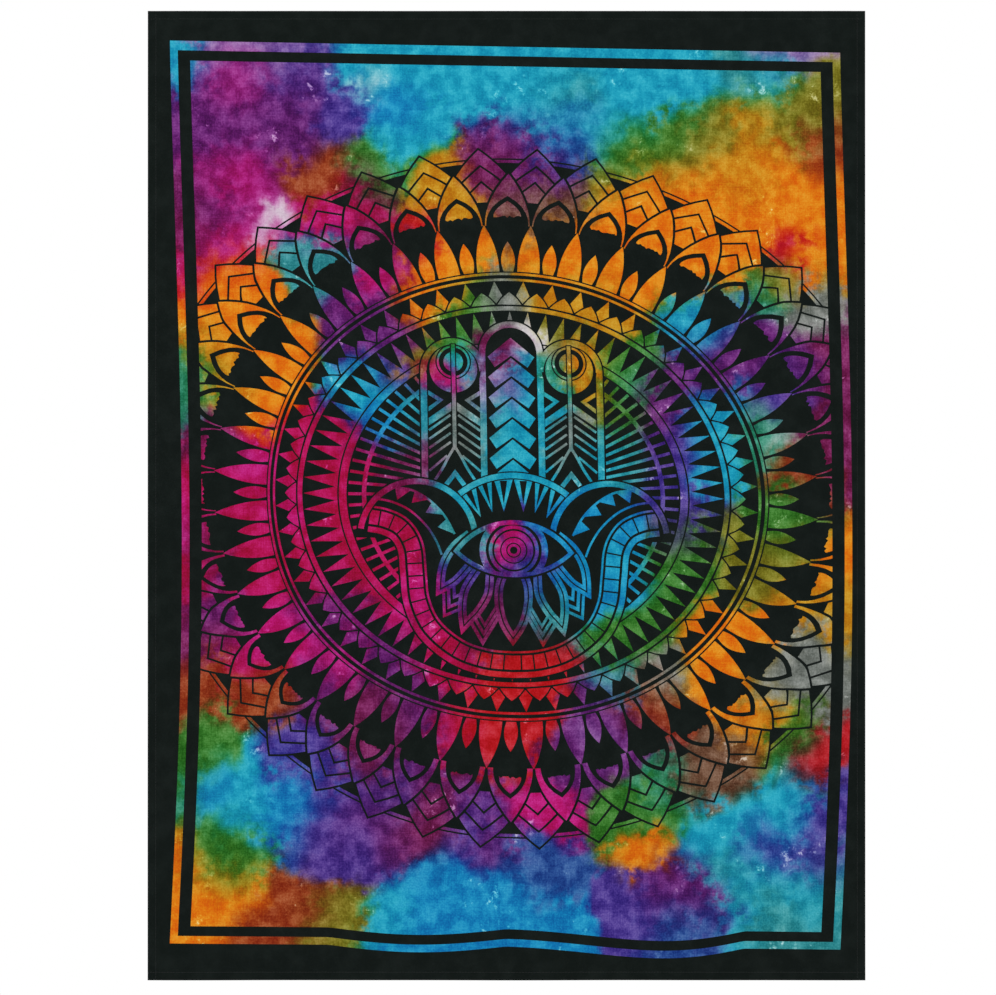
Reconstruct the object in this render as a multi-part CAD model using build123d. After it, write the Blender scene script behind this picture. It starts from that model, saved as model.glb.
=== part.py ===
"""Tapestry wall hanging: a dyed and printed cotton panel with four stitched hems.

Millimetres, +Z up. The printed front faces -Y and the wall is the plane Y = 0.
The origin is on the back of the top hem, half-way along it and half-way down it:
the place where the hanging is pinned to a wall.
"""
import os

from build123d import *

# The finished cloth: a 30 x 40 inch piece, shrunk a little in width by the dye bath.
CLOTH_WIDTH = 752.0
CLOTH_HEIGHT = 1016.0
CLOTH_THICKNESS = 0.3

# A double-turned hem is two more layers of the cloth, folded to the back.
HEM_LAYERS = 2
HEM_DEPTH = 10.0

# One lockstitch seam holds each hem: a needle thread in front, a bobbin thread behind.
SEAM_INSET = 1.5
THREAD_WIDTH = 0.4
THREAD_THICKNESS = 0.15
SEAM_END_MARGIN = 2.0

# Levels worked out from the sizes above.
HEM_THICKNESS = HEM_LAYERS * CLOTH_THICKNESS
WALL_Y = 0.0
PANEL_BACK_Y = WALL_Y - HEM_THICKNESS
PANEL_FRONT_Y = PANEL_BACK_Y - CLOTH_THICKNESS
RIGHT_X = CLOTH_WIDTH / 2
LEFT_X = -RIGHT_X
TOP_Z = HEM_DEPTH / 2
BOTTOM_Z = TOP_Z - CLOTH_HEIGHT
SIDE_HEM_TOP_Z = TOP_Z - HEM_DEPTH
SIDE_HEM_BOTTOM_Z = BOTTOM_Z + HEM_DEPTH


def slab(x_range, y_range, z_range):
    """A rectangular block between two planes along each axis."""
    sizes = [high - low for low, high in (x_range, y_range, z_range)]
    middles = [(low + high) / 2 for low, high in (x_range, y_range, z_range)]
    return Pos(*middles) * Box(*sizes)


def hem_ranges():
    """The X range and Z range that each hem covers; the side hems butt between the others."""
    across = (LEFT_X, RIGHT_X)
    between = (SIDE_HEM_BOTTOM_Z, SIDE_HEM_TOP_Z)
    return {
        "top": (across, (TOP_Z - HEM_DEPTH, TOP_Z)),
        "bottom": (across, (BOTTOM_Z, BOTTOM_Z + HEM_DEPTH)),
        "left": ((LEFT_X, LEFT_X + HEM_DEPTH), between),
        "right": ((RIGHT_X - HEM_DEPTH, RIGHT_X), between),
    }


def centred(middle, width):
    """The range of the given width about a middle."""
    return (middle - width / 2, middle + width / 2)


def seam_ranges():
    """The X range and Z range of each hem's line of stitching."""
    seam_step = HEM_DEPTH - SEAM_INSET
    across = (LEFT_X + SEAM_END_MARGIN, RIGHT_X - SEAM_END_MARGIN)
    between = (SIDE_HEM_BOTTOM_Z + SEAM_END_MARGIN, SIDE_HEM_TOP_Z - SEAM_END_MARGIN)
    return {
        "top": (across, centred(TOP_Z - seam_step, THREAD_WIDTH)),
        "bottom": (across, centred(BOTTOM_Z + seam_step, THREAD_WIDTH)),
        "left": (centred(LEFT_X + seam_step, THREAD_WIDTH), between),
        "right": (centred(RIGHT_X - seam_step, THREAD_WIDTH), between),
    }


def needle_thread(side):
    """The thread on the printed front, pulled down flush with the cloth."""
    x_range, z_range = seam_ranges()[side]
    return slab(x_range, (PANEL_FRONT_Y, PANEL_FRONT_Y + THREAD_THICKNESS), z_range)


def bobbin_thread(side):
    """The thread on the back of the hem, pulled down flush with it."""
    x_range, z_range = seam_ranges()[side]
    return slab(x_range, (WALL_Y - THREAD_THICKNESS, WALL_Y), z_range)


def cotton_panel():
    """The full sheet of cloth, pressed in along each line of stitching."""
    sheet = slab((LEFT_X, RIGHT_X), (PANEL_FRONT_Y, PANEL_BACK_Y), (BOTTOM_Z, TOP_Z))
    for side in seam_ranges():
        sheet -= needle_thread(side)
    return sheet


def hem(side):
    """One double-turned hem behind the panel, pressed in along its stitching."""
    x_range, z_range = hem_ranges()[side]
    return slab(x_range, (PANEL_BACK_Y, WALL_Y), z_range) - bobbin_thread(side)


def build_nodes():
    """Every sub-part of the hanging, by its node name."""
    nodes = {"cotton_panel": cotton_panel()}
    for side in hem_ranges():
        nodes[side + "_hem"] = hem(side)
        nodes[side + "_needle_thread"] = needle_thread(side)
        nodes[side + "_bobbin_thread"] = bobbin_thread(side)
    return nodes


os.makedirs("parts", exist_ok=True)
for node_name, shape in build_nodes().items():
    export_step(shape, "parts/" + node_name + ".step")
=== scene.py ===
"""Tapestry wall hanging: the looks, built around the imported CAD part.

The print is drawn flat in millimetres, as outlines laid down in order, "ink" or "bare". It is cut
into triangles, warped as the real screen print is, and laid on the gently waving cloth. The dyes
are a node material: a list of pours of dye that spread, meet and mix on the cloth.
"""
import math

import bpy
import numpy as np
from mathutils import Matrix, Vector
from mathutils.geometry import delaunay_2d_cdt


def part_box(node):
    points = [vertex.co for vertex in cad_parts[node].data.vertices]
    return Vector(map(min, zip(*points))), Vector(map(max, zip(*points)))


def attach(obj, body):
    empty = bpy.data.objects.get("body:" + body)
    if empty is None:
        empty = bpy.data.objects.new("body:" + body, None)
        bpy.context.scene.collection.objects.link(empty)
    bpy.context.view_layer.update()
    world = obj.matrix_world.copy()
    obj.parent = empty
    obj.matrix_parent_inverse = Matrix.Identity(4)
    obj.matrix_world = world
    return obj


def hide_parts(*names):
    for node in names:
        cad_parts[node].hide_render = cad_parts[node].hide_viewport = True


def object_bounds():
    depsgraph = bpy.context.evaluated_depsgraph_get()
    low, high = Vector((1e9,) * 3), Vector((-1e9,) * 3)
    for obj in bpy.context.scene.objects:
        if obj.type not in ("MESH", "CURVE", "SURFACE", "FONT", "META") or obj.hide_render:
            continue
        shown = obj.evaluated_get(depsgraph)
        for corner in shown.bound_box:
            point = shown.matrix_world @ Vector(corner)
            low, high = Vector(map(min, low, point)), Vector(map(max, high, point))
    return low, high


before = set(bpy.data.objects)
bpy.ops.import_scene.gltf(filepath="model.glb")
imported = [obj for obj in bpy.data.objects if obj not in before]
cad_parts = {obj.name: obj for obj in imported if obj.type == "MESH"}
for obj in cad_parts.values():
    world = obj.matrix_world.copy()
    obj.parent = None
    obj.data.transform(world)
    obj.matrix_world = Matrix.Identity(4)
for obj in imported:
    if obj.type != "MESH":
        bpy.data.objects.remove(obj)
cad_low, cad_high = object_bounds()

MM = 0.001
SEED = 7

# ---- sizes from the frame, millimetres
panel_low, panel_high = (np.array(corner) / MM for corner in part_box("cotton_panel"))
hem_low, hem_high = (np.array(corner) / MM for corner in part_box("top_hem"))
WIDTH, CLOTH, HEIGHT = panel_high - panel_low
CENTRE_Z = (panel_low[2] + panel_high[2]) / 2
HEM_DEPTH = hem_high[2] - hem_low[2]
SEAM_INSET = 1.5
FOLD_RADIUS = 0.55

# ---- how the cloth hangs

CLOSEST = 2.1
WAVE_DEPTH = 5.0
WAVE_AT_TOP = 0.22


def stand_off(x, z):
    """How far the front of the cloth stands off the wall, in mm; x and z are from its middle."""
    drop = (HEIGHT / 2 - z) / HEIGHT
    broad = 0.24 * np.sin(2 * np.pi * x / 330 + 0.7 + 0.9 * drop)
    middle = 0.16 * np.sin(2 * np.pi * x / 176 + 2.2 - 1.3 * drop)
    narrow = 0.08 * np.sin(2 * np.pi * x / 97 + 4.0 + 2.1 * drop) * (1 - drop)
    across = 0.10 * np.sin(2 * np.pi * z / 540 + 1.1 + x / 260)
    waves = 0.5 + broad + middle + narrow + across
    return CLOSEST + WAVE_DEPTH * (WAVE_AT_TOP + (1 - WAVE_AT_TOP) * drop) * waves


def on_cloth(x, z, lift=0.0):
    """Points in metres on the front of the cloth, raised towards the viewer by lift mm."""
    y = -(stand_off(x, z) + lift)
    return np.column_stack([x, y, z + CENTRE_Z]) * MM


# ---- how the print lies on the cloth

PRINT_CENTRE = (-1.5, -0.5)
PRINT_TOP = 467.6
PRINT_TALL = 939.4
BOW = 12.6
TILT = 0.0138
TILT_CHANGE = 0.0045
LEFT_SAG = 7.0
RIGHT_SAG = 11.0
SAG_SPAN = (185.0, 250.0)
RIGHT_SKEW = 1.6
SAG_FROM = -385.0
SAG_FULL = -450.0


def print_to_cloth(points):
    """The screen print's own warp: bowed to the right, a little tilted, sagging along the bottom."""
    x, z = points[:, 0], points[:, 1]
    down = np.clip((PRINT_TOP - z) / PRINT_TALL, 0, 1)
    bow = BOW * np.sin(np.pi * down**1.2)
    near_bottom = np.clip((SAG_FROM - z) / (SAG_FROM - SAG_FULL), 0, 1)
    left = LEFT_SAG * np.sin(np.pi * np.clip(-x / SAG_SPAN[0], 0, 1))
    right = RIGHT_SAG * np.sin(np.pi * np.clip(x / SAG_SPAN[1], 0, 1) ** RIGHT_SKEW)
    sag = (left + right) * near_bottom**2
    tilt = (TILT + TILT_CHANGE * z / PRINT_TOP) * x
    return np.column_stack([x + PRINT_CENTRE[0] + bow, z + PRINT_CENTRE[1] - tilt - sag])


# ---- drawing

paint = []


def ink(*outlines):
    """Lay black ink inside each outline, over whatever is there."""
    paint.extend((np.asarray(outline, float), True) for outline in outlines)


def bare(*outlines):
    """Leave the dyed cloth bare inside each outline."""
    paint.extend((np.asarray(outline, float), False) for outline in outlines)


def both(outline):
    """An outline and its mirror image in the upright axis."""
    outline = np.asarray(outline, float)
    return outline, outline * (-1, 1)


def arc(centre, radius, start, stop, step=6.0):
    """Points along a circle's arc, angles in degrees from +x."""
    count = max(3, int(abs(stop - start) / step) + 1)
    angle = np.radians(np.linspace(start, stop, count))
    return np.column_stack([centre[0] + radius * np.cos(angle), centre[1] + radius * np.sin(angle)])


def disc(centre, radius):
    """A full circle's outline."""
    return arc(centre, radius, 0, 360, 10.0)[:-1]


def smooth(points, steps=5):
    """A round curve through given points."""
    p = np.array([points[0], *points, points[-1]], float)
    t = np.linspace(0, 1, steps, endpoint=False)[:, None]
    spans = []
    for a, b, c, d in zip(p, p[1:], p[2:], p[3:]):
        bend = (2 * a - 5 * b + 4 * c - d) * t**2 + (3 * b - a - 3 * c + d) * t**3
        spans.append(b + 0.5 * ((c - a) * t + bend))
    return np.vstack(spans + [p[-1:]])


def offset(path, distance):
    """A path moved sideways, to its left, with mitred corners."""
    path = np.asarray(path, float)
    step = np.diff(path, axis=0)
    step /= np.linalg.norm(step, axis=1, keepdims=True)
    normal = np.column_stack([-step[:, 1], step[:, 0]])
    before = np.vstack([normal[:1], normal])
    after = np.vstack([normal, normal[-1:]])
    spread = np.maximum(1 + (before * after).sum(axis=1), 0.35)
    return path + distance * (before + after) / spread[:, None]


def stroke(path, width, shift=0.0):
    """The outline of a line of the given width drawn along a path."""
    return np.vstack([offset(path, shift + width / 2), offset(path, shift - width / 2)[::-1]])


LONGEST = 5.0


def divided(outline):
    """The same outline with its long sides divided, so that it bends with the print and the cloth."""
    sides = []
    for start, stop in zip(outline, np.roll(outline, -1, axis=0)):
        count = int(np.linalg.norm(stop - start) / LONGEST) + 1
        sides.append(start + (stop - start) * np.arange(count)[:, None] / count)
    return np.vstack(sides)


def rectangle(left, bottom, right, top):
    """A rectangle's outline."""
    return np.array([(left, bottom), (right, bottom), (right, top), (left, top)], float)


# ---- the mandala, in radii and angles

STRETCH = 1.125
LEAF_FOOT = 238.3


def wheel(shape, turn=0.0):
    """Map (degrees from the top, radius) to the print; its rings are wider than they are high."""
    shape = np.asarray(shape, float)
    angle, radius = np.radians(shape[:, 0] + turn), shape[:, 1]
    wider = (STRETCH - 1) * np.minimum(radius, LEAF_FOOT)
    return np.column_stack([(radius + wider) * np.sin(angle), radius * np.cos(angle)])


def circle(radius, count=180):
    """A whole ring line's outline."""
    return wheel([(360.0 * k / count, radius) for k in range(count)])


def pointed(base, tip, half_width, power, steps=8):
    """A pointed arch from base to tip radius, centred on angle 0."""
    t = np.linspace(0, 1, steps)
    wide = half_width * (1 - t**power)
    tall = base + (tip - base) * t
    left = np.column_stack([-wide, tall])
    right = np.column_stack([wide, tall])[-2::-1]
    return np.vstack([left, right])


LEAVES = 40
LEAF_PITCH = 360 / LEAVES
THIN = 2.0


def draw_back_petals():
    """The outermost petals, with two chevrons in each, joined by a thin ring."""
    ink(circle(353.9))
    bare(circle(352.3))
    ink(circle(349.2))
    petal = pointed(306, 364.5, 7.1, 1.5)
    for k in range(LEAVES):
        turn = (k + 0.5) * LEAF_PITCH
        outline = wheel(petal, turn)
        bare(outline)
        ink(stroke(outline, THIN))
    for k in range(LEAVES):
        turn = (k + 0.5) * LEAF_PITCH
        for tip in (346.5, 330.5):
            ink(stroke(wheel([(-4.3, tip - 20), (0, tip), (4.3, tip - 20)], turn), THIN))


BLEED = 1.3
BOTTOM_SLIMMER = 0.20


def ragged(radius, half_width, rng, teeth=13):
    """The fuzzy lower edge of the bare patch under an arch, where the ink has bled upwards."""
    angles = np.linspace(half_width, -half_width, teeth)
    return [(a, radius + rng.uniform(-BLEED, BLEED)) for a in angles]


def draw_front_petals():
    """The pointed petals that cross at the leaf tips, each with a black arch and a bare patch."""
    rng = np.random.default_rng(SEED)
    ink(circle(310.5))
    petal = pointed(286.3, 339.5, 4.5, 1.8)
    arch = pointed(278.0, 316.5, 4.1, 3.2)
    top = pointed(295.5, 311.6, 2.6, 1.9)
    for k in range(LEAVES):
        turn = k * LEAF_PITCH
        outline = wheel(petal, turn)
        bare(outline)
        ink(stroke(outline, 2.3))
        towards_bottom = max(0, -math.cos(math.radians(turn)))
        slim = (1 - BOTTOM_SLIMMER * towards_bottom, 1)
        ink(wheel(arch * slim, turn))
        patch = np.vstack([top[1:-1], ragged(295.8, 2.55, rng)])
        bare(wheel(patch * slim, turn))


def draw_leaves():
    """Large and small leaves in turn, standing on the double ring."""
    ink(circle(286.6))
    large = pointed(LEAF_FOOT, 287.6, 2.5, 2.1)
    side = smooth([(-1.10, LEAF_FOOT), (-1.46, 246.0), (-1.42, 254.0), (-0.82, 263.0), (0, 270.0)], 3)
    small = np.vstack([side, side[-2::-1] * (-1, 1)])
    for k in range(LEAVES):
        bare(wheel(large, (k + 0.5) * LEAF_PITCH))
        bare(wheel(small, k * LEAF_PITCH))


KITES = 52
KITE_PITCH = 360 / KITES


def draw_kites():
    """The double ring, then a ring of kites with low humps between them."""
    for radius, colour in ((LEAF_FOOT, ink), (237.0, bare), (234.4, ink), (230.8, bare), (228.2, ink)):
        colour(circle(radius))
    kite = [(0, 204.6), (-1.70, 212.8), (-0.90, 219.6), (0, 228.0), (0.90, 219.6), (1.70, 212.8)]
    rise = [(-3.15, 203.4), (-2.10, 209.0), (-0.95, 213.3), (0, 216.4)]
    hump = rise + [(-angle, radius) for angle, radius in rise[-2::-1]]
    for k in range(KITES):
        bare(wheel(kite, (k + 0.5) * KITE_PITCH))
        bare(wheel(hump, k * KITE_PITCH))


SPIKES = 72
SPIKE_PITCH = 360 / SPIKES


def draw_spikes():
    """A bare ring, a ring of long spikes, and the thick ring that they grow from."""
    ink(circle(202.6))
    bare(circle(201.4))
    ink(circle(196.8))
    star = []
    for k in range(SPIKES):
        star += [(k * SPIKE_PITCH, 196.0), ((k + 0.27) * SPIKE_PITCH, 179.0)]
        star += [((k + 0.5) * SPIKE_PITCH, 166.6), ((k + 0.73) * SPIKE_PITCH, 179.0)]
    bare(wheel(star))
    for radius, colour in ((164.2, ink), (162.8, bare), (155.6, ink)):
        colour(circle(radius))


BARS = 80
BAR_PITCH = 360 / BARS


def draw_bars():
    """Thin bars pointing at the middle, tied together by a thin ring."""
    for k in range(BARS):
        bare(stroke(wheel([(k * BAR_PITCH, 154.0), (k * BAR_PITCH, 72.0)]), 3.2))
    ring = np.vstack([circle(139.2), circle(139.2)[:1]])
    bare(stroke(ring, 4.6))


# ---- the hand

LINE = 6.8
LINE_EDGE = 1.6
FINGER_FOOT = 12.0
MIDDLE = ((0.0, 151.5), 30.4)
SIDE = ((61.5, 132.0), 31.1)
PALM_LINE = 6.2


def finger(place, grow):
    """A finger's outline: a round arch on straight sides, moved out by grow."""
    (x, z), radius = place
    half = radius + grow
    top = arc((x, z), half, 180, 0)
    return np.vstack([top, [(x + half, FINGER_FOOT), (x - half, FINGER_FOOT)]])


def draw_fingers():
    """Three fingers, each a bare line round a black inside."""
    layers = ((LINE / 2 + LINE_EDGE, ink), (LINE / 2, bare), (-LINE / 2, ink))
    for grow, colour in layers:
        colour(*both(finger(SIDE, grow)))
    for grow, colour in layers:
        colour(finger(MIDDLE, grow))


BLOCKS = 7
BLOCK_PITCH = 21.6


def draw_chevron_stack():
    """The stack of blocks that fills the middle finger."""
    for k in range(BLOCKS):
        z = 168.0 - BLOCK_PITCH * k
        right = [(0, z), (24.6, z - 20.5), (17.3, z - 31.6)]
        left = [(-17.3, z - 31.6), (-24.6, z - 20.5)]
        bare(right + [(0, z - 19.3)] + left)


def draw_side_finger():
    """What each side finger holds: an eye spot and a barbed, forked stem."""
    x, spot, big = 61.0, 141.5, 134.0
    parts = [(disc((x, big), 29.0), ink), (stroke(arc(*SIDE, 180, 0), LINE), bare)]
    for centre, radius, colour in (
        ((x, big), 25.2, bare), ((x, spot), 18.8, ink), ((x, spot), 17.4, bare),
        ((x, spot), 15.2, ink), ((x, spot), 10.4, bare),
    ):
        parts.append((disc(centre, radius), colour))
    parts.append((stroke([(x, 161), (x, 50)], 6.4), ink))
    for side in (-1, 1):
        place = np.array([(side, 1)])
        parts.append(([(27, 111), (11, 101), (27, 88.5)] * place + (x, 0), bare))
        parts.append(([(27.5, 106.5), (17.5, 100.3), (27.5, 93)] * place + (x, 0), ink))
        parts.append(([(3, 98.5), (3, 89.5), (27, 73.5), (27, 81.5)] * place + (x, 0), bare))
        for inner, root in ((4.0, 85.0), (4.0, 75.5), (4.0, 66.0), (4.0, 56.5), (8.0, 42.0)):
            parts.append((stroke([(inner, root), (27, root - 16.5)] * place + (x, 0), 2.5), bare))
        fork = smooth([(0.5, 51), (7, 40), (13, 28.5), (21, 16)] * place + (x, 0), 4)
        parts.append((stroke(fork, 2.9), bare))
    parts.append((stroke([(x, 160), (x, 48)], 4.0), bare))
    for outline, colour in parts:
        colour(*both(outline))


THUMB = smooth([(151, -24), (134, -27), (117, -36), (106, -55), (103, -83), (99.5, -112),
                (86, -140), (58, -163), (28, -173.5), (0, -176)])
BAND = 15.0
CURL = (100.7, -46.0)
CURL_RADIUS = 60.3


def draw_palm():
    """The black palm with a peak under each side finger, the curls, and each thumb's ticked band."""
    mirrored = THUMB[::-1] * (-1, 1)
    band = np.vstack([THUMB, mirrored[1:]])
    ink(np.vstack([band, [(-100, 16), (100, 16)]]))
    bare(*both(stroke([(48.5, 7), (61, 23.5), (73.5, 7)], 4.8)))
    ink(*both(arc(CURL, CURL_RADIUS + 4.8, 0, 180)))
    ink(stroke(band, 31.0, 2.3))
    for width, shift in ((6.0, 13.0), (BAND, 0.0), (2.2, -10.9)):
        bare(stroke(band, width, shift))
    draw_ticks()
    ink(*both(stroke(arc(CURL, CURL_RADIUS, 8, 172), PALM_LINE + 3)))
    bare(*both(stroke(arc(CURL, CURL_RADIUS, 9, 172), PALM_LINE)))


def draw_ticks(pitch=13.2):
    """Thin black ticks across the thumb's band, evenly spaced along it."""
    run = np.concatenate([[0], np.cumsum(np.linalg.norm(np.diff(THUMB, axis=0), axis=1))])
    near, far = offset(THUMB, -BAND / 2), offset(THUMB, BAND / 2)
    for place in np.arange(pitch * 0.8, run[-1], pitch):
        ends = [[np.interp(place, run, edge[:, axis]) for axis in (0, 1)] for edge in (near, far)]
        ink(*both(stroke(ends, 1.5)))


CURL_TEETH = 4
TOOTH_PITCH = 0.255
TOOTH_LONG = 0.2


def draw_curl_lines():
    """Two thin lines inside each curl, the outer one with teeth."""
    toothed = smooth([(124, 7), (107, 5), (89, -5), (73, -21), (62, -41)])
    bare(*both(stroke(toothed, 2.4)))
    plain = smooth([(143, -5), (127, -8), (109, -16.5), (92, -32), (81, -49), (75.5, -63)])
    bare(*both(stroke(plain, 2.3)))
    count = len(toothed)
    for k in range(CURL_TEETH):
        place = 0.04 + TOOTH_PITCH * k
        start = toothed[int(place * count)]
        stop = toothed[min(count - 1, int((place + TOOTH_LONG) * count))]
        along = (stop - start) / np.linalg.norm(stop - start)
        across = np.array([-along[1], along[0]])
        bare(*both([start, stop, start + 12.5 * across + 3.5 * along]))


DOME = ((0.0, -67.2), 89.0)
DOME_HALF = 56.6


def dome_height(x):
    """Height of the arch over the eye."""
    (_, z), radius = DOME
    return z + math.sqrt(radius**2 - x**2)


def draw_dome():
    """The arch over the eye, with a fringe of narrow vees hanging from it."""
    centre, radius = DOME
    end = math.degrees(math.acos(DOME_HALF / radius))
    vees = ((2.6, 18.0, 10.2, -13.0, 6.2), (25.6, 36.6, 23.0, -15.0, 5.4), (42.5, 54.0, 35.7, -20.0, 5.4))
    for left, right, x, z, width in vees:
        vee = [(left, dome_height(left)), (x, z), (right, dome_height(right))]
        bare(*both(stroke(vee, width)))
    ink(stroke(arc(centre, radius, end, 180 - end, 4), PALM_LINE + 2.4))
    bare(stroke(arc(centre, radius, end, 180 - end, 4), PALM_LINE))


EYE_HALF = 63.5
EYE_LEVEL = -59.0
CORNER_GROWTH = 1.3
UPPER_RISE = 33.5
LOWER_RISE = 26.8
IRIS = (0.0, -57.3)


def lid(x, rise):
    """Height of a lid above the eye's corners, for the circle through both corners."""
    radius = (EYE_HALF**2 + rise**2) / (2 * rise)
    return np.sqrt(radius**2 - np.minimum(np.abs(x), EYE_HALF) ** 2) - radius + rise


def eye_outline(grow):
    """The almond between the two lids, moved out by grow."""
    x = np.linspace(-EYE_HALF, EYE_HALF, 25)
    upper = EYE_LEVEL + lid(x, UPPER_RISE) * (1 + grow / UPPER_RISE)
    lower = EYE_LEVEL - lid(x, LOWER_RISE) * (1 + grow / LOWER_RISE)
    wide = x * (1 + CORNER_GROWTH * grow / EYE_HALF)
    return np.vstack([np.column_stack([wide, upper]), np.column_stack([wide, lower])[-2:0:-1]])


def between_lids(outline):
    """An outline kept inside the black of the eye."""
    x = outline[:, 0]
    high = EYE_LEVEL + 0.85 * lid(x, UPPER_RISE)
    low = EYE_LEVEL - 0.83 * lid(x, LOWER_RISE)
    return np.column_stack([x, np.clip(outline[:, 1], low, high)])


def draw_eye():
    """The almond eye and its ringed iris."""
    ink(eye_outline(2.2))
    bare(eye_outline(0.0))
    ink(eye_outline(-4.9))
    rings = ((36.0, bare), (29.3, ink), (26.3, bare), (22.5, ink), (20.6, bare), (14.3, ink),
             (13.0, bare), (7.9, ink), (6.7, bare), (3.9, ink))
    for radius, colour in rings:
        colour(between_lids(disc(IRIS, radius)))


LEAF_LINES = ((2.0, 4.0), (7.1, 3.6))
WIDE_VEES = ((3.2, 3.6), (12.6, 3.2), (21.6, 2.8))
SIDE_VEES = ((2.8, 3.0), (12.0, 3.4), (22.5, 3.2))


def leaf(side_a, side_b):
    """A leaf below the eye on both sides: black inside, with two bare lines drawn in from its edge."""
    edge = np.vstack([smooth(side_a, 4), smooth(side_b, 4)[-2::-1]])
    ink(*both(edge))
    for inset, width in LEAF_LINES:
        bare(*both(stroke(edge, width, inset)))


def nested_vees(left, tip, right, lines, lean):
    """A pointed leaf end that shows between two others: vees inside each other, leaning inwards."""
    vee = np.array([left, tip, right], float)
    ink(*both(vee))
    for rise, width in lines:
        bare(*both(stroke(vee + (-lean * rise, rise), width)))


def draw_lotus():
    """Pointed leaves under the eye, the back ones first."""
    nested_vees((14, -128), (32, -158.5), (50, -128), WIDE_VEES, 0.10)
    nested_vees((52, -120.6), (73.8, -130), (74.7, -106), SIDE_VEES, 0.52)
    leaf([(40, -73), (57, -92.5), (70, -101), (81.5, -107)],
         [(49, -37), (65, -50), (76, -67), (80.5, -84), (81.5, -107)])
    leaf([(20.5, -83), (22.5, -105), (33, -124), (43, -135), (54.5, -147.5)],
         [(38, -70), (54, -95), (58, -113), (57.5, -130), (54.5, -147.5)])
    leaf([(-15, -82), (-19.5, -96), (-19.5, -116), (-13.5, -138), (0, -158.5)],
         [(15, -82), (19.5, -96), (19.5, -116), (13.5, -138), (0, -158.5)])


# ---- the border

FIELD = (330.4, 450.4, -453.8)
STRIPE_OUT = (351.3, 471.0, -472.0)
STRIPE_IN = (343.2, 461.0, -464.0)
BEYOND = 60.0


def border(outer, inner, colour):
    """A rectangular frame between two rectangles given as (half width, top, bottom)."""
    wide, top, bottom = outer
    inner_wide, inner_top, inner_bottom = inner
    colour(rectangle(-wide, inner_top, wide, top), rectangle(-wide, bottom, wide, inner_bottom))
    colour(*both(rectangle(inner_wide, inner_bottom - 1, wide, inner_top + 1)))


def draw_border():
    """Black all round the field, with one thin bare stripe in it."""
    wide, top, bottom = STRIPE_OUT
    border((wide + BEYOND, top + BEYOND, bottom - BEYOND), FIELD, ink)
    border(STRIPE_OUT, STRIPE_IN, bare)


# ---- what the hand that drew the wheel got a little uneven, in millimetres

WHEEL_HALF = 315.0
WHEEL_LEFT = 3.5
TOP_LOWER = 4.0
TOP_NARROWER = 4.0
BOTTOM_HIGHER = 2.2
LOWER_RIGHT_DROP = 12.0
RINGS_FLATTEN = (226.0, 268.0)
LEAVES_SHORTEN = (266.0, 316.0)
LEFT_FLATTER = 9.4
RIGHT_SHORTER = 8.0
RIGHT_LOWER = 2.0
PETALS_SPREAD = (238.0, 342.0)
TIPS_WIDER = 17.0
LOWER_LEFT_LESS = 22.0
UPPER_RIGHT_LESS = 15.0
RIGHT_TIPS_HIGHER = 8.5
BOTTOM_TIPS_LOWER = 6.3
SIDE_TIPS_HIGHER = 15.0


def share(value, span):
    """0 before the span, 1 after it, and a straight line between."""
    return np.clip((value - span[0]) / (span[1] - span[0]), 0, 1)


def flat_sides(across, reach):
    """The wheel's far left is flattened from the outer ring on; its far right has shorter leaves."""
    left, right = np.maximum(-across, 0) ** 8, np.maximum(across, 0) ** 8
    inwards = LEFT_FLATTER * left * share(reach, RINGS_FLATTEN)
    inwards -= RIGHT_SHORTER * right * share(reach, LEAVES_SHORTEN)
    lower = RIGHT_LOWER * right * share(reach, LEAVES_SHORTEN)
    return np.column_stack([inwards, -lower])


def spread_petals(across, up, outer):
    """The petals' tips spread to both sides, less so at the lower left and the upper right."""
    wider = TIPS_WIDER * across * np.abs(across)
    wider += LOWER_LEFT_LESS * np.maximum(-across, 0) ** 2 * np.maximum(-up, 0)
    wider -= UPPER_RIGHT_LESS * np.maximum(across, 0) ** 2 * np.maximum(up, 0)
    higher = RIGHT_TIPS_HIGHER * np.maximum(across, 0) ** 3 * (1 + up)
    lower_half = np.clip(-3 * up, 0, 1)
    higher -= lower_half * (BOTTOM_TIPS_LOWER - SIDE_TIPS_HIGHER * across**2)
    return outer[:, None] * np.column_stack([wider, higher])


def uneven(points):
    """The wheel and the hand as drawn by hand: a little off centre, and not quite regular."""
    across, up = points[:, 0] / WHEEL_HALF, points[:, 1] / WHEEL_HALF
    above, below = np.maximum(up, 0), np.maximum(-up, 0)
    reach = np.maximum(np.hypot(points[:, 0], points[:, 1]), 1.0)
    outer = 1.15 * share(reach, PETALS_SPREAD) ** 3
    inner = 1 - np.minimum(outer, 1)
    right = -inner * (WHEEL_LEFT + TOP_NARROWER * across * above)
    lower = inner * TOP_LOWER * above + LOWER_RIGHT_DROP * np.maximum(across, 0) * below
    lower = lower - BOTTOM_HIGHER * below
    moved = points + np.column_stack([right, -lower])
    ahead, upwards = points[:, 0] / reach, points[:, 1] / reach
    return moved + flat_sides(ahead, reach) + spread_petals(ahead, upwards, outer)


def draw_print():
    """The whole print, from the back layer to the front one."""
    for draw in (draw_back_petals, draw_front_petals, draw_leaves, draw_kites, draw_spikes, draw_bars,
                 draw_fingers, draw_chevron_stack, draw_side_finger, draw_palm, draw_curl_lines,
                 draw_dome, draw_lotus, draw_eye):
        draw()
    paint[:] = [(uneven(divided(outline)), is_ink) for outline, is_ink in paint]
    draw_border()


# ---- from outlines to a mesh

NET = 8.0
CUT_TOLERANCE = 0.002


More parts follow.
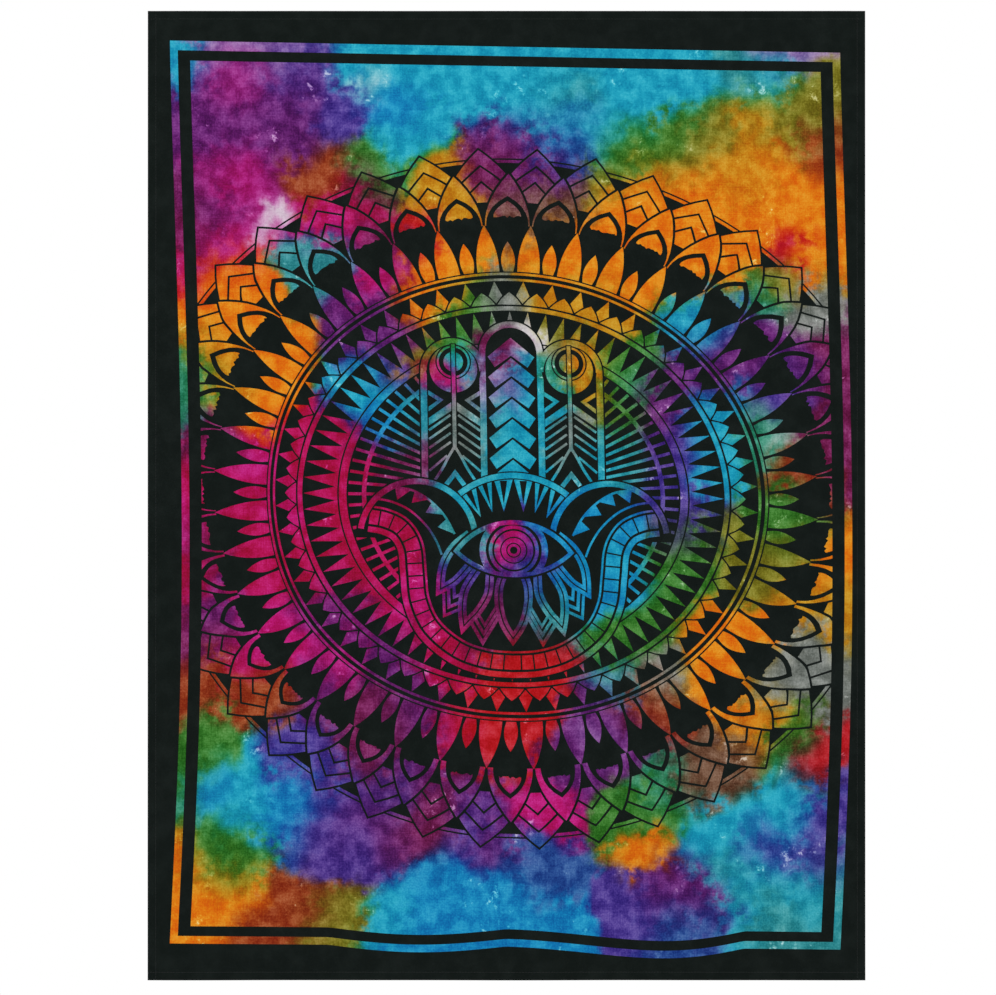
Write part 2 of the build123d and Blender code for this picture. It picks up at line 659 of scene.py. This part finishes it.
def winding(points, outline):
    """How many times an outline goes round each point."""
    count = np.zeros(len(points), int)
    x, z = points[:, 0], points[:, 1]
    for (ax, az), (bx, bz) in zip(outline, np.roll(outline, -1, axis=0)):
        if az == bz:
            continue
        crosses = (az <= z) != (bz <= z)
        left_of = ax + (z - az) * (bx - ax) / (bz - az) > x
        count += np.where(crosses & left_of, np.sign(bz - az).astype(int), 0)
    return count


def cut_print():
    """The inked triangles: points in mm from the cloth's middle, and triangles."""
    half = np.array([WIDTH / 2, HEIGHT / 2]) - FOLD_RADIUS
    sheet_edge = divided(rectangle(-half[0], -half[1], half[0], half[1]))
    outlines = [print_to_cloth(divided(outline)) for outline, _ in paint]
    points, edges = [], []
    for outline in outlines + [sheet_edge]:
        first, count = len(points), len(outline)
        points.extend(outline.tolist())
        edges.extend((first + k, first + (k + 1) % count) for k in range(count))
    for x in np.arange(-half[0] + NET / 2, half[0], NET):
        points.extend((float(x), float(z)) for z in np.arange(-half[1] + NET / 2, half[1], NET))
    made = delaunay_2d_cdt([Vector(p) for p in points], edges, [], 0, CUT_TOLERANCE)
    flat = np.array([tuple(p) for p in made[0]])
    triangles = np.array(made[2])
    middle = flat[triangles].mean(axis=1)
    inked = np.zeros(len(middle), bool)
    order = np.argsort(middle[:, 0])
    sorted_x = middle[order, 0]
    for outline, (_, is_ink) in zip(outlines, paint):
        low, high = outline.min(axis=0), outline.max(axis=0)
        near = order[np.searchsorted(sorted_x, low[0]):np.searchsorted(sorted_x, high[0])]
        near = near[(middle[near, 1] > low[1]) & (middle[near, 1] < high[1])]
        if len(near):
            inside = near[winding(middle[near], outline) != 0]
            inked[inside] = is_ink
    inked &= (np.abs(middle) < half).all(axis=1)
    used = triangles[inked]
    kept, index = np.unique(used, return_inverse=True)
    return flat[kept], index.reshape(-1, 3)


def in_scene(name, data):
    """A new object in the scene that shows a mesh, lamp or camera."""
    made = bpy.data.objects.new(name, data)
    bpy.context.scene.collection.objects.link(made)
    return made


def new_mesh(name, points, faces):
    """A mesh object in the scene, smooth shaded."""
    mesh = bpy.data.meshes.new(name)
    mesh.from_pydata(np.asarray(points).tolist(), [], faces)
    mesh.shade_smooth()
    mesh.validate()
    return in_scene(name, mesh)


def facing(flat, triangles, towards):
    """Triangles all wound one way: towards -1 faces the viewer, +1 the wall."""
    a, b, c = (flat[triangles[:, k]] for k in range(3))
    turn = (b - a)[:, 0] * (c - a)[:, 1] - (b - a)[:, 1] * (c - a)[:, 0]
    wrong = (turn > 0) != (towards < 0)
    triangles = triangles.copy()
    triangles[wrong] = triangles[wrong][:, ::-1]
    return triangles.tolist()


INK_LIFT = 0.10
SOAKED_LIFT = 0.06


def make_print():
    """The black print on the front, and its shadow where it has soaked through to the back."""
    draw_print()
    flat, triangles = cut_print()
    x, z = flat[:, 0], flat[:, 1]
    front = new_mesh("black_print", on_cloth(x, z, INK_LIFT), facing(flat, triangles, -1))
    behind = on_cloth(x, z, -CLOTH - SOAKED_LIFT)
    back = new_mesh("print_soaked_through", behind, facing(flat, triangles, 1))
    return front, back


# ---- the cloth

CLOTH_CELL = 3.0


def make_cloth():
    """One closed sheet: a front, a back and the thin rim between them."""
    half_x, half_z = WIDTH / 2 - FOLD_RADIUS, HEIGHT / 2 - FOLD_RADIUS
    across, up = int(WIDTH / CLOTH_CELL), int(HEIGHT / CLOTH_CELL)
    x, z = np.meshgrid(np.linspace(-half_x, half_x, across + 1), np.linspace(-half_z, half_z, up + 1))
    x, z = x.ravel(), z.ravel()
    points = np.vstack([on_cloth(x, z), on_cloth(x, z, -CLOTH)])
    row, total = across + 1, (across + 1) * (up + 1)
    cell = (np.arange(up)[:, None] * row + np.arange(across)[None, :]).ravel()
    front = np.column_stack([cell, cell + 1, cell + row + 1, cell + row])
    rim = np.concatenate([np.arange(across), np.arange(up) * row + across,
                          total - 1 - np.arange(across), (up - np.arange(up)) * row])
    after = np.roll(rim, -1)
    side = np.column_stack([rim, rim + total, after + total, after])
    faces = np.vstack([front, front[:, ::-1] + total, side])
    piece = new_mesh("tapestry_cloth", points, faces.tolist())
    piece.data.set_sharp_from_angle(angle=math.radians(40))
    is_back = np.zeros(len(faces), np.int32)
    is_back[len(front):] = 1
    return piece, is_back


# ---- hems and stitches

STITCH = 3.0
STITCH_LONG = 2.6
THREAD = 0.26
PUCKER = 0.10
SEAM_END = 2.0
HEM_STEP = 1.5


def edge_frames():
    """For each hem: a function from (distance along, distance in from the edge) to cloth x and z."""
    x, z = WIDTH / 2, HEIGHT / 2
    return {
        "top": (lambda a, d: (a - x, z - d), WIDTH),
        "bottom": (lambda a, d: (a - x, -z + d), WIDTH),
        "left": (lambda a, d: (-x + d, a - z), HEIGHT),
        "right": (lambda a, d: (x - d, a - z), HEIGHT),
    }


def hem_profile():
    """A hem's closed section: (distance in from the edge, depth behind the front of the cloth)."""
    thick = 2 * FOLD_RADIUS
    fold = arc((FOLD_RADIUS, FOLD_RADIUS), FOLD_RADIUS, 270, 90, 22.5)
    run = np.linspace(FOLD_RADIUS, HEM_DEPTH - 0.3, 13)[1:]
    puff = 0.16 * np.sin(np.pi * np.clip(run / (HEM_DEPTH - SEAM_INSET), 0, 1)) ** 2
    outside = np.column_stack([run, thick + puff])
    inner_fold = arc((HEM_DEPTH - 0.3, thick - 0.33), 0.33, 90, -90, 30)[1:]
    inside = [(HEM_DEPTH * 0.6, thick - 0.66), (FOLD_RADIUS + 0.3, thick - 0.66), (FOLD_RADIUS + 0.3, 0.02)]
    return np.vstack([fold, outside, inner_fold, inside])


def make_hem(side):
    """One turned hem: its folded edge, and the cloth drawn in a little at every stitch."""
    place, length = edge_frames()[side]
    profile = hem_profile()
    margin = 0.0 if side in ("top", "bottom") else FOLD_RADIUS
    stations = np.linspace(margin, length - margin, int(length / HEM_STEP))
    seam = HEM_DEPTH - SEAM_INSET
    points = []
    for along in stations:
        drawn_in = PUCKER * (0.5 + 0.5 * np.cos(2 * np.pi * along / STITCH))
        near_seam = np.exp(-(((profile[:, 0] - seam) / 0.9) ** 2)) * (profile[:, 1] > FOLD_RADIUS)
        over_side = 0.0
        if side in ("top", "bottom"):
            from_end = min(along, length - along)
            over_side = 0.75 * (1 - np.clip((from_end - HEM_DEPTH) / 5.0, 0, 1))
        depth = profile[:, 1] - drawn_in * near_seam + over_side * (profile[:, 1] > FOLD_RADIUS)
        x, z = place(np.full(len(profile), along), profile[:, 0])
        points.append(on_cloth(x, z, -depth))
    points = np.vstack(points)
    count, rings = len(profile), len(stations)
    start = (np.arange(rings - 1)[:, None] * count + np.arange(count)[None, :]).ravel()
    nxt = (np.arange(rings - 1)[:, None] * count + (np.arange(count)[None, :] + 1) % count).ravel()
    faces = np.column_stack([start, nxt, nxt + count, start + count])
    flip = side in ("bottom", "right")
    faces = (faces if flip else faces[:, ::-1]).tolist()
    ends = [list(range(count)), list(range(len(points) - count, len(points)))]
    faces += [ends[0] if not flip else ends[0][::-1], ends[1][::-1] if not flip else ends[1]]
    return new_sewn_mesh(side + "_hem_cloth", points, faces)


def new_sewn_mesh(name, points, faces):
    """A mesh object that keeps its sharp folds and ends."""
    piece = new_mesh(name, points, faces)
    piece.data.set_sharp_from_angle(angle=math.radians(50))
    return piece


def make_stitches(side, front):
    """A row of stitches, each a short bowed thread whose ends dip into the cloth."""
    place, length = edge_frames()[side]
    inset = HEM_DEPTH - SEAM_INSET
    t = np.linspace(-1, 1, 7)
    around = np.radians(np.arange(0, 360, 60))
    rise = THREAD * (0.55 * (1 - t**2) - 0.35 * t**6)
    girth = THREAD / 2 * np.sqrt(np.maximum(1 - 0.8 * t**6, 0.05))
    rng = np.random.default_rng(SEED + len(side) + int(front))
    count = int((length - 2 * SEAM_END) / STITCH)
    points, faces = [], []
    for k in range(count):
        middle = SEAM_END + (k + 0.5) * STITCH
        slant = rng.normal(0.10, 0.03)
        wander = rng.normal(0, 0.04)
        along = middle + t * STITCH_LONG / 2
        ring_along = np.repeat(along, len(around))
        sideways = inset + wander + slant * t
        ring_in = np.repeat(sideways, len(around)) + np.outer(girth, np.cos(around)).ravel()
        out = np.repeat(rise, len(around)) + 0.8 * np.outer(girth, np.sin(around)).ravel()
        x, z = place(ring_along, ring_in)
        lift = out + INK_LIFT if front else -(2 * FOLD_RADIUS - PUCKER * 0.5) - out
        first = k * len(t) * len(around)
        points.append(on_cloth(x, z, lift))
        for ring in range(len(t) - 1):
            for j in range(len(around)):
                a = first + ring * len(around) + j
                b = first + ring * len(around) + (j + 1) % len(around)
                faces.append([a, b, b + len(around), a + len(around)])
    kind = "needle" if front else "bobbin"
    return new_sewn_mesh(f"{side}_{kind}_stitches", np.vstack(points), faces)


# ---- node materials


class Shade:
    """A node material, built by calls that take numbers or sockets and return sockets."""

    def __init__(self, name):
        self.material = bpy.data.materials.new(name)
        self.material.use_nodes = True
        self.tree = self.material.node_tree
        self.shader = self.tree.nodes["Principled BSDF"]

    def node(self, kind, **settings):
        made = self.tree.nodes.new(kind)
        for key, value in settings.items():
            setattr(made, key, value)
        return made

    def feed(self, socket, value):
        if isinstance(value, bpy.types.NodeSocket):
            self.tree.links.new(value, socket)
        else:
            socket.default_value = value

    def feed_all(self, node, **values):
        for key, value in values.items():
            self.feed(node.inputs[key.replace("_", " ")], value)

    def surface(self, **values):
        self.feed_all(self.shader, **values)

    def math(self, operation, *values):
        made = self.node("ShaderNodeMath", operation=operation)
        for socket, value in zip(made.inputs, values):
            self.feed(socket, value)
        return made.outputs[0]

    def vector(self, operation, *values):
        made = self.node("ShaderNodeVectorMath", operation=operation)
        second = made.inputs[3 if operation == "SCALE" else 1]
        for socket, value in zip((made.inputs[0], second), values):
            self.feed(socket, value)
        return made.outputs[0]

    def noise(self, place, scale, detail=2.0, rough=0.5, swirl=0.0):
        made = self.node("ShaderNodeTexNoise")
        self.feed_all(made, Vector=place, Scale=scale, Detail=detail, Roughness=rough, Distortion=swirl)
        return made.outputs["Fac"]

    def ramp(self, value, low, high, to_low=0.0, to_high=1.0):
        made = self.node("ShaderNodeMapRange", interpolation_type="SMOOTHSTEP")
        self.feed_all(made, From_Min=low, From_Max=high, To_Min=to_low, To_Max=to_high, Value=value)
        return made.outputs["Result"]

    def mix(self, share, first, second):
        made = self.node("ShaderNodeMix", data_type="RGBA")
        self.feed_all(made, Factor=share, A=first, B=second)
        return made.outputs["Result"]

    def bump(self, height, distance, strength):
        made = self.node("ShaderNodeBump")
        self.feed_all(made, Distance=distance, Strength=strength, Height=height)
        return made.outputs["Normal"]

    def split(self, place):
        made = self.node("ShaderNodeSeparateXYZ")
        self.feed(made.inputs[0], place)
        return made.outputs


def millimetres(shade):
    """Position on the cloth in mm from its middle."""
    place = shade.node("ShaderNodeTexCoord").outputs["Object"]
    scaled = shade.vector("SCALE", place, 1 / MM)
    return shade.vector("SUBTRACT", scaled, (0.0, 0.0, float(CENTRE_Z)))


THREAD_PITCH = 0.55
SLUB_HEIGHT = 1.6
WEAVE_BUMP = 0.00006
ROUGHNESS_SPREAD = 0.06


def weave(shade, place):
    """Height of a plain weave: warp and weft threads that pass over and under each other."""
    split = shade.split(place)
    turn = math.pi / THREAD_PITCH
    warp = shade.math("SINE", shade.math("MULTIPLY", split["X"], turn))
    weft = shade.math("SINE", shade.math("MULTIPLY", split["Z"], turn))
    over = shade.math("MULTIPLY", warp, weft)
    threads = shade.math("ADD", shade.math("ABSOLUTE", warp), shade.math("ABSOLUTE", weft))
    return shade.math("MULTIPLY_ADD", over, 0.35, threads)


def slubs(shade, place):
    """Uneven thick threads running up and across the cloth, 0 to 1."""
    upright = shade.noise(shade.vector("MULTIPLY", place, (1.6, 1.0, 0.035)), 1.0, 2.0)
    level = shade.noise(shade.vector("MULTIPLY", place, (0.035, 1.0, 1.6)), 1.0, 2.0)
    return shade.math("MULTIPLY", shade.math("ADD", upright, level), 0.5)


def finish_cloth(shade, colour, place, roughness, shine=0.12):
    """Join a colour, the weave's bump and a matte sheen to the shader."""
    height = shade.math("MULTIPLY_ADD", slubs(shade, place), SLUB_HEIGHT, weave(shade, place))
    grain = shade.noise(place, 0.9, 3.0)
    smoothest, roughest = roughness - ROUGHNESS_SPREAD, roughness + ROUGHNESS_SPREAD
    rough = shade.ramp(grain, 0.3, 0.7, smoothest, roughest)
    normal = shade.bump(height, WEAVE_BUMP, 0.35)
    shade.surface(Base_Color=colour, Normal=normal, Roughness=rough, Specular_IOR_Level=shine)
    return shade.material


# ---- the dyes

DYES = {
    "magenta": (190, 20, 115), "crimson": (180, 10, 80), "red": (195, 30, 40), "rust": (155, 65, 30),
    "orange": (230, 130, 15), "amber": (200, 140, 25), "olive": (130, 125, 35), "green": (60, 125, 45),
    "jade": (50, 140, 110), "teal": (60, 150, 155), "turquoise": (30, 165, 195),
    "azure": (20, 140, 195), "blue": (45, 85, 155), "violet": (80, 60, 150), "purple": (105, 35, 115),
    "plum": (120, 30, 85), "brown": (115, 80, 60), "grey": (130, 135, 130),
    "lilac": (150, 120, 175), "pale": (215, 210, 215),
}
# How strongly the dye has coloured the printed side and the wall side.
FRONT_TAKE_UP = 1.0
BACK_TAKE_UP = 0.62
DYE_BRIGHTNESS = 0.90
# Where dye was poured: across and up from the cloth's middle, and how far it spread, in mm.
POURS = {
    "purple": [
        (-300, 390, 30), (-250, 415, 28), (-310, 300, 16), (-130, 170, 18), (20, 350, 22),
        (240, 145, 20), (165, 80, 18), (315, 125, 14), (-310, -125, 18), (-185, -125, 18),
        (-125, -170, 16), (-195, -197, 14), (-100, -235, 20), (-100, -290, 14), (-150, -340, 22),
        (-30, -320, 18), (-10, -365, 14), (115, -230, 18), (80, -270, 14), (200, -420, 16),
        (170, -413, 14),
    ],
    "violet": [
        (-230, 445, 18), (-175, 400, 14), (285, 108, 16), (180, 50, 14), (175, -18, 18), (-45, -90, 14),
        (-205, -275, 16), (-175, -330, 22), (-165, -370, 16), (-120, -315, 14), (-30, -350, 16),
        (320, -375, 17), (150, -430, 14), (345, -335, 16), (272, -370, 13),
    ],
    "plum": [
        (-330, 285, 22), (-135, 262, 14), (-305, 50, 14), (-120, 15, 14), (-5, 340, 14), (345, 60, 20),
        (345, 140, 14), (-320, -45, 16), (-300, -150, 14), (-345, -150, 18), (-15, -125, 18),
        (-140, -222, 18), (-145, -262, 18), (-100, -335, 20), (-5, 150, 9), (-88, 40, 12),
    ],
    "magenta": [
        (-285, 435, 18), (-290, 340, 18), (-300, 270, 20), (-175, 290, 16), (-145, 228, 14),
        (-275, 25, 20), (-225, -25, 16), (-95, -100, 16), (-245, -130, 20), (-225, -165, 16),
        (-180, -170, 18), (-275, -165, 14), (30, -320, 14), (15, -65, 14), (-345, -30, 20),
        (-72, 119, 10),
    ],
    "crimson": [
        (-345, 230, 14), (-150, 305, 14), (-315, 20, 14), (-185, 35, 22), (-150, 25, 14),
        (-290, -15, 20), (-180, -10, 22), (-130, -25, 14), (-265, -60, 20), (-215, -70, 16),
        (-165, -75, 24), (-110, -70, 16), (-70, -158, 18), (-60, -250, 16), (-345, -100, 20),
        (293, 256, 10),
    ],
    "red": [
        (-20, -250, 22), (20, -175, 16), (20, -210, 14), (320, -280, 12), (-95, 280, 12),
    ],
    "rust": [
        (-195, 335, 14), (345, 365, 16), (310, 20, 14), (-310, -190, 14), (-245, -205, 14),
        (-345, -200, 16), (-205, -430, 14), (145, -220, 14), (-270, -462, 14),
    ],
    "orange": [
        (-290, 225, 16), (-300, 180, 18), (-345, 180, 16), (-245, 135, 14), (-260, 105, 14),
        (-60, 250, 14), (200, 310, 20), (165, 332, 16), (130, 310, 14), (250, 300, 26), (300, 290, 26),
        (185, 270, 20), (65, 255, 16), (90, 240, 14), (345, 310, 22), (225, -165, 20), (265, -245, 14),
        (150, -370, 11), (-310, -425, 20), (-345, -385, 16), (-345, -430, 16), (345, -70, 14),
        (72, 141, 8), (96, 126, 9), (-85, 193, 12),
    ],
    "amber": [
        (-310, 150, 16), (-290, 120, 14), (-65, 312, 16), (250, 330, 16), (258, 392, 14),
        (345, -110, 16), (78, 118, 9), (-45, 213, 12), (45, 211, 12), (85, 203, 14),
    ],
    "olive": [
        (110, 340, 14), (190, 357, 14), (215, 380, 14), (285, 400, 14), (330, 395, 16),
        (-180, -440, 14), (240, -68, 14), (300, -50, 12), (-84, 142, 10), (97, 90, 10), (66, 162, 10),
        (290, 225, 10),
    ],
    "green": [
        (-140, 335, 14), (120, 360, 14), (175, 375, 14), (125, 85, 14), (-320, -260, 14),
        (-300, -372, 16), (-345, -295, 14), (180, -65, 18), (290, -22, 16), (120, -150, 14),
        (145, -328, 14), (292, -265, 13), (150, -130, 12), (-55, 168, 11), (-28, 200, 10),
        (118, 125, 14),
    ],
    "jade": [
        (-345, 120, 18), (275, 65, 14), (-345, -325, 14), (165, -305, 12), (130, 115, 12), (47, 123, 9),
        (275, 208, 12),
    ],
    "teal": [
        (-190, 240, 14), (60, 420, 16), (250, 440, 16), (120, 50, 14), (-50, -50, 14), (45, -130, 14),
        (275, -430, 14), (345, -410, 20), (235, -395, 14), (310, -465, 14), (110, -195, 12),
    ],
    "turquoise": [
        (-350, 455, 14), (-150, 120, 14), (-100, 440, 16), (-20, 435, 16), (-105, 370, 14),
        (30, 430, 20), (150, 420, 20), (190, 430, 16), (270, 435, 14), (100, 380, 14), (210, 175, 14),
        (215, 80, 14), (215, 33, 14), (-45, 10, 14), (110, -65, 18), (-278, -316, 20), (-115, -435, 14),
        (298, -320, 18), (230, -360, 18), (255, -408, 20), (290, -350, 14), (320, -420, 16),
        (-150, 465, 20), (-60, 465, 20), (60, 465, 24), (165, 465, 16), (14, 122, 10), (8, 75, 18),
        (8, 35, 18), (-57, 142, 9), (34, 95, 12), (-87, 76, 12), (98, 50, 14),
    ],
    "azure": [
        (-115, 408, 14), (-130, 75, 14), (60, 395, 14), (65, -45, 16), (120, -35, 14), (120, -85, 14),
        (75, -105, 14), (-310, -315, 14), (-225, -320, 18), (-87, -430, 20), (-15, -425, 14),
        (20, -450, 16),
    ],
    "blue": [
        (65, 370, 16), (20, -95, 14), (25, -388, 14), (185, -447, 14),
    ],
    "lilac": [
        (-290, 465, 20), (-240, 465, 16), (290, 465, 14), (95, -255, 12), (-6, 112, 12),
    ],
    "grey": [
        (-58, 60, 24), (65, 65, 16), (165, -190, 12), (330, -160, 12), (2, 195, 12), (60, 143, 8),
        (290, -197, 14), (322, 190, 14),
    ],
    "brown": [
        (20, 305, 14), (48, 298, 14), (252, -268, 12), (208, -292, 14),
    ],
    "pale": [
        (290, 60, 10), (-140, 435, 10), (30, 165, 7), (-253, 288, 9), (-262, 268, 7),
    ],
}
REACH = 2.2
FAINTEST = 1e-12
CELLS = 96
CLOUD_START = 400.5


def linear(colour):
    """A screen colour, 0 to 255, as linear light."""
    share = np.array(colour) / 255
    return np.where(share <= 0.04045, share / 12.92, ((share + 0.055) / 1.055) ** 2.4)


def cloud(x, z, size, seed):
    """Smooth noise from -1 to 1 that varies over about this many mm."""
    cells = np.random.default_rng(seed).uniform(-1, 1, (CELLS, CELLS))
    u, v = x / size + CLOUD_START, z / size + CLOUD_START
    i, j = np.floor(u).astype(int), np.floor(v).astype(int)
    s, t = u - i, v - j
    s, t = s * s * (3 - 2 * s), t * t * (3 - 2 * t)
    i, j, beside, above = i % CELLS, j % CELLS, (i + 1) % CELLS, (j + 1) % CELLS
    low = cells[i, j] * (1 - s) + cells[beside, j] * s
    high = cells[i, above] * (1 - s) + cells[beside, above] * s
    return low * (1 - t) + high * t


def dye_colour(x, z, seed):
    """The dye at each point, in linear light: pours that have crept along the threads and met."""
    for size, far in ((46.0, 12.0), (21.0, 10.0), (9.0, 4.5)):
        seed += 2
        x, z = x + far * cloud(x, z, size, seed), z + far * cloud(x, z, size, seed + 1)
    total = np.full(len(x), FAINTEST)
    depth = np.zeros((len(x), 3))
    for dye, places in POURS.items():
        absorbed = np.log(linear(DYES[dye]))
        for px, pz, spread in places:
            away = ((x - px) ** 2 + (z - pz) ** 2) / spread**2
            weight = np.exp(-away / REACH)
            total += weight
            depth += weight[:, None] * absorbed
    return np.exp(depth / total[:, None])


def dye_cloth(piece):
    """Store two readings of the dyes on the cloth; the material laces them together."""
    place = np.array([corner.co for corner in piece.data.vertices]) / MM
    x, z = place[:, 0], place[:, 2] - CENTRE_Z
    for name, seed in (("dye", 11), ("dye_beside", 31)):
        layer = piece.data.attributes.new(name, "FLOAT_COLOR", "POINT")
        colour = np.column_stack([dye_colour(x, z, seed), np.ones(len(x))])
        layer.data.foreach_set("color", colour.ravel())


def dye_sockets(shade, place):
    """The two dye readings laced by fine fingers of noise."""
    near = shade.node("ShaderNodeAttribute", attribute_name="dye").outputs["Color"]
    beside = shade.node("ShaderNodeAttribute", attribute_name="dye_beside").outputs["Color"]
    fingers = shade.noise(place, 0.11, 3.0, 0.5)
    return shade.mix(shade.ramp(fingers, 0.36, 0.64), near, beside)


def strength(shade, colour, power):
    """The same dye, stronger or weaker: light goes through it power times."""
    made = shade.node("ShaderNodeGamma")
    shade.feed_all(made, Color=colour, Gamma=power)
    return made.outputs["Color"]


def dyed_cotton(name="dyed cotton, printed side", take_up=FRONT_TAKE_UP):
    """Cotton dyed in many colours; take_up is how strongly the dye has coloured this side."""
    shade = Shade(name)
    place = millimetres(shade)
    colour = dye_sockets(shade, place)
    blotch = shade.ramp(shade.noise(place, 0.06, 3.0), 0.34, 0.66, 1.32 * take_up, 0.82 * take_up)
    speck = shade.ramp(shade.noise(place, 0.55, 3.0), 0.30, 0.72, 1.14, 0.86)
    thread = shade.ramp(slubs(shade, place), 0.30, 0.70, 1.12, 0.88)
    spot = shade.ramp(shade.noise(place, 0.11, 5.0, 0.68, 0.4), 0.56, 0.68)
    where = shade.ramp(shade.noise(place, 0.020, 2.0), 0.54, 0.64)
    fleck = shade.math("MULTIPLY_ADD", shade.math("MULTIPLY", spot, where), -0.72, 1.0)
    uneven_dye = shade.math("MULTIPLY", shade.math("MULTIPLY", blotch, speck), thread)
    dyed = strength(shade, colour, shade.math("MULTIPLY", uneven_dye, fleck))
    return finish_cloth(shade, shade.vector("SCALE", dyed, DYE_BRIGHTNESS), place, 0.88)


INK = (0.0042, 0.0070, 0.0060, 1.0)
INK_WORN = (0.0105, 0.0150, 0.0135, 1.0)
INK_SHINE = 0.06


def black_ink():
    """Black screen-printing ink that has sunk into the weave."""
    shade = Shade("black ink on cotton")
    place = millimetres(shade)
    patch = shade.ramp(shade.noise(place, 0.05, 4.0, 0.6), 0.35, 0.75)
    crest = shade.ramp(shade.noise(place, 0.8, 3.0), 0.45, 0.8)
    worn = shade.math("MULTIPLY_ADD", crest, 0.4, shade.math("MULTIPLY", patch, 0.5))
    return finish_cloth(shade, shade.mix(worn, INK, INK_WORN), place, 0.82, INK_SHINE)


def soaked_print():
    """Where the ink has darkened the wall side of the cloth."""
    shade = Shade("print seen from behind")
    place = millimetres(shade)
    patch = shade.ramp(shade.noise(place, 0.35, 4.0, 0.65), 0.30, 0.75)
    colour = shade.mix(patch, (0.030, 0.030, 0.034, 1.0), (0.095, 0.088, 0.092, 1.0))
    return finish_cloth(shade, colour, place, 0.9)


# How far in from the cloth's outer edge the hem is coloured paler, in mm.
PALE_EDGE_WIDTH = 0.9


def black_cotton():
    """The turned hem: black cloth, coloured a paler grey in patches along its outermost edge, the rounded
    fold.
    """
    shade = Shade("black hem cotton")
    place = millimetres(shade)
    ends = []
    for axis, half in (("X", WIDTH / 2), ("Z", HEIGHT / 2)):
        reach = shade.math("ABSOLUTE", shade.split(place)[axis])
        ends.append(shade.ramp(reach, half - PALE_EDGE_WIDTH, half))
    # Paler grey over the outermost 0.9 mm of the cloth, which is the hem's rounded fold, in patches from
    # noise.
    pale_edge_share = shade.math("MULTIPLY", shade.math("MAXIMUM", *ends), shade.noise(place, 0.35, 4.0, 0.7))
    mottle = shade.ramp(shade.noise(place, 0.2, 4.0), 0.3, 0.75, 0.0, 0.5)
    worn = shade.mix(mottle, INK, INK_WORN)
    with_pale_edge = shade.mix(pale_edge_share, worn, (0.040, 0.042, 0.044, 1.0))
    return finish_cloth(shade, with_pale_edge, place, 0.88)


TWIST = 0.45
TWIST_BUMP = 0.00003


def sewing_thread():
    """Black spun thread: fine twisted plies with a little sheen."""
    shade = Shade("black sewing thread")
    place = millimetres(shade)
    split = shade.split(place)
    diagonal = shade.math("ADD", split["X"], split["Z"])
    ply = shade.math("SINE", shade.math("MULTIPLY", diagonal, 2 * math.pi / TWIST))
    fuzz = shade.noise(place, 6.0, 3.0)
    colour = shade.mix(fuzz, (0.0080, 0.0085, 0.0090, 1.0), (0.024, 0.024, 0.026, 1.0))
    normal = shade.bump(shade.math("ADD", ply, fuzz), TWIST_BUMP, 0.6)
    rough = shade.ramp(fuzz, 0.3, 0.7, 0.45, 0.6)
    shade.surface(Base_Color=colour, Normal=normal, Roughness=rough)
    shade.surface(Specular_IOR_Level=0.35, Sheen_Weight=0.1)
    return shade.material


# ---- floor, light and camera

FLOOR_DROP = 0.45
FLOOR_SIDE = 4.0
CAMERA_FAR = 6.0
CAMERA_LENS = 206.8
CAMERA_SHIFT = (-8.9, -2.1)


def make_floor():
    """A plain pale floor, well below the cloth."""
    level = cad_low[2] - FLOOR_DROP
    half = FLOOR_SIDE / 2
    corners = [(-half, -half, level), (half, -half, level), (half, half, level), (-half, half, level)]
    floor = new_mesh("floor", corners, [(0, 1, 2, 3)])
    shade = Shade("pale floor")
    shade.surface(Base_Color=(0.78, 0.78, 0.77, 1.0), Roughness=0.7)
    floor.data.materials.append(shade.material)
    return floor


def aim(start, target):
    """The turn that points a lamp or camera from start to target."""
    return (Vector(target) - Vector(start)).to_track_quat("-Z", "Y").to_euler()


def make_light():
    """Even white light all round, and one broad soft lamp from the upper left."""
    world = bpy.data.worlds.new("studio")
    world.use_nodes = True
    sky = world.node_tree.nodes["Background"].inputs
    sky["Color"].default_value = (1, 1, 1, 1)
    sky["Strength"].default_value = 1.0
    bpy.context.scene.world = world
    lamp = bpy.data.lights.new("key", "AREA")
    lamp.shape = "DISK"
    lamp.size = 1.6
    lamp.energy = 12.0
    key = in_scene("key", lamp)
    key.location = (-2.2, -2.0, CENTRE_Z * MM + 1.2)
    key.rotation_euler = aim(key.location, (0, 0, CENTRE_Z * MM))


def make_camera():
    """Far in front of the cloth, looking straight at it, a little left of its middle and below it."""
    camera = in_scene("camera", bpy.data.cameras.new("camera"))
    camera.data.sensor_width = 36.0
    camera.data.lens = CAMERA_LENS
    camera.location = (CAMERA_SHIFT[0] * MM, -CAMERA_FAR, (CENTRE_Z + CAMERA_SHIFT[1]) * MM)
    camera.rotation_euler = (math.radians(90), 0, 0)
    bpy.context.scene.camera = camera
    bpy.context.scene.view_settings.view_transform = "Standard"


# ---- the whole scene


def put_on(piece, material, slot, *nodes):
    """Give a piece its material, the rigid body it rides on and the nodes it replaces; slot is not used."""
    piece.data.materials.append(material)
    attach(piece, "root")
    if nodes:
        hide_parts(*nodes)
    return piece


def main():
    cloth, is_back = make_cloth()
    dye_cloth(cloth)
    put_on(cloth, dyed_cotton(), "dyed_cotton", "cotton_panel")
    cloth.data.materials.append(dyed_cotton("dyed cotton, wall side", BACK_TAKE_UP))
    cloth.data.polygons.foreach_set("material_index", is_back)
    black_print, soaked = make_print()
    put_on(black_print, black_ink(), "black_cotton")
    put_on(soaked, soaked_print(), "black_cotton")
    hem_material, thread_material = black_cotton(), sewing_thread()
    for side in edge_frames():
        put_on(make_hem(side), hem_material, "black_cotton", side + "_hem")
        for front, kind in ((True, "needle"), (False, "bobbin")):
            stitches = make_stitches(side, front)
            put_on(stitches, thread_material, "sewing_thread", f"{side}_{kind}_thread")
    make_floor()
    make_light()
    make_camera()


main()
